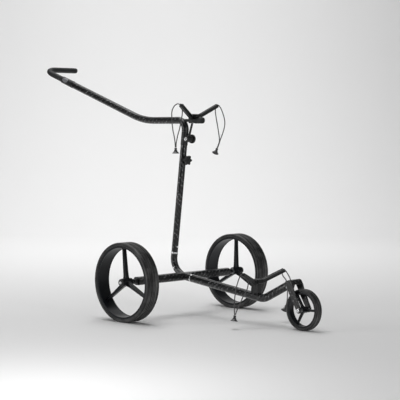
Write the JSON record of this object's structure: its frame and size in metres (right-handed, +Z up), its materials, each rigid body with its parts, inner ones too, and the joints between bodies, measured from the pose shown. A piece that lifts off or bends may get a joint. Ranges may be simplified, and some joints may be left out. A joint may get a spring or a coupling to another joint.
{
  "type": "golf push cart",
  "caption": "Folding three-wheel golf push cart: carbon tube frame, L-shaped handle, two V-shaped bag brackets with elastic loops, wide spoked rear wheels and a forked front wheel.",
  "frame": {"origin": "on the ground, under the middle of the cart's bounding box without its elastic loops", "axes": "+X the way the cart travels, +Y its left side, +Z up"},
  "size_m": [1.5656, 0.662, 0.988],
  "materials": {
    "carbon": "clear-coated carbon fibre weave",
    "moulded_black": "fine-grained satin black",
    "wheel_black": "satin black",
    "rubber": "matt soft rubber",
    "tyre": "smooth grooved tyre rubber",
    "silver": "turned and polished",
    "steel": "brushed",
    "black_steel": "black-coated, semi-gloss",
    "badge_metal": "brushed, unmarked",
    "elastic_cord": "braided",
    "cone_black": "satin black"
  },
  "bodies": {
    "frame": {"rear_frame": "carbon", "mast_spigot": "silver", "elbow_screw": "silver", "front_spigot": "silver", "axle_stub_right": "black_steel", "axle_stub_left": "black_steel"},
    "mast": {"mast_tube": "carbon", "mast_hinge_half": "moulded_black", "hinge_bolt": "silver", "knob_boss": "moulded_black"},
    "release_button": {"release_button": "silver"},
    "mast_knob": {"mast_knob": "moulded_black"},
    "handle": {"handle_tube": "carbon", "grip": "rubber", "grip_end_cap": "moulded_black", "grip_collar": "moulded_black", "badge": "badge_metal", "handle_hinge_half": "moulded_black", "bracket_rod": "moulded_black", "upper_bracket_block": "moulded_black", "upper_arm_right": "moulded_black", "upper_arm_left": "moulded_black", "bumper": "rubber", "bracket_stay": "moulded_black", "upper_right_cord_tip": "elastic_cord", "upper_right_cord_root": "elastic_cord", "upper_right_cone": "cone_black", "upper_left_cord_tip": "elastic_cord", "upper_left_cord_root": "elastic_cord", "upper_left_cone": "cone_black"},
    "hinge_knob": {"hinge_knob": "moulded_black"},
    "front": {"front_tube": "carbon", "lower_bracket_post": "moulded_black", "lower_bracket_block": "moulded_black", "lower_arm_right": "moulded_black", "lower_arm_left": "moulded_black", "front_fork": "carbon", "fork_bolt": "steel", "front_axle_bolt": "silver", "lower_right_cord_tip": "elastic_cord", "lower_right_cord_root": "elastic_cord", "lower_right_cone": "cone_black", "lower_left_cord_tip": "elastic_cord", "lower_left_cord_root": "elastic_cord", "lower_left_cone": "cone_black"},
    "front_wheel": {"front_rim": "wheel_black", "front_tyre": "tyre", "front_bearing": "steel"},
    "right_hub": {"hub_sleeve_right": "steel"},
    "right_hub_button": {"hub_button_right": "silver"},
    "right_wheel": {"rear_rim_right": "wheel_black", "rear_tyre_right": "tyre", "hub_bearing_right": "steel", "hub_cap_ring_right": "moulded_black"},
    "left_hub": {"hub_sleeve_left": "steel"},
    "left_hub_button": {"hub_button_left": "silver"},
    "left_wheel": {"rear_rim_left": "wheel_black", "rear_tyre_left": "tyre", "hub_bearing_left": "steel", "hub_cap_ring_left": "moulded_black"}
  },
  "joints": [
    {"name": "mast_unplug", "type": "slide", "parent": "frame", "child": "mast", "axis": [0.1251, 0, 0.9921], "range_m": [0, 0.045]},
    {"name": "front_unplug", "type": "slide", "parent": "frame", "child": "front", "axis": [0.9924, 0, -0.1234], "range_m": [0, 0.05]},
    {"name": "release_press", "type": "slide", "parent": "mast", "child": "release_button", "axis": [-0.9921, 0, 0.1251], "range_m": [0, 0.002], "stiffness_N_per_m": 800},
    {"name": "handle_fold", "type": "hinge", "parent": "mast", "child": "handle", "pos_m": [0.11576, 0, 0.68504], "axis": [0, 1, 0], "range_deg": [0, 120]},
    {"name": "hinge_knob_turn", "type": "hinge", "parent": "mast", "child": "hinge_knob", "pos_m": [0.11576, 0, 0.68504], "axis": [0, 1, 0], "range_deg": [0, 360]},
    {"name": "mast_knob_turn", "type": "hinge", "parent": "mast", "child": "mast_knob", "pos_m": [0.11106, 0, 0.60258], "axis": [0.9921, 0, -0.1251], "range_deg": [0, 360]},
    {"name": "front_wheel_spin", "type": "hinge", "parent": "front", "child": "front_wheel", "pos_m": [0.70775, 0, 0.075], "axis": [0, 1, 0], "continuous": true},
    {"name": "right_wheel_pull", "type": "slide", "parent": "frame", "child": "right_hub", "axis": [0, -1, 0], "range_m": [0, 0.06]},
    {"name": "right_wheel_spin", "type": "hinge", "parent": "right_hub", "child": "right_wheel", "pos_m": [0.08875, -0.299, 0.15], "axis": [0, 1, 0], "continuous": true},
    {"name": "right_hub_press", "type": "slide", "parent": "right_hub", "child": "right_hub_button", "axis": [0, 1, 0], "range_m": [0, 0.003], "stiffness_N_per_m": 800},
    {"name": "left_wheel_pull", "type": "slide", "parent": "frame", "child": "left_hub", "axis": [0, 1, 0], "range_m": [0, 0.06]},
    {"name": "left_wheel_spin", "type": "hinge", "parent": "left_hub", "child": "left_wheel", "pos_m": [0.08875, 0.299, 0.15], "axis": [0, 1, 0], "continuous": true},
    {"name": "left_hub_press", "type": "slide", "parent": "left_hub", "child": "left_hub_button", "axis": [0, -1, 0], "range_m": [0, 0.003], "stiffness_N_per_m": 800}
  ]
}
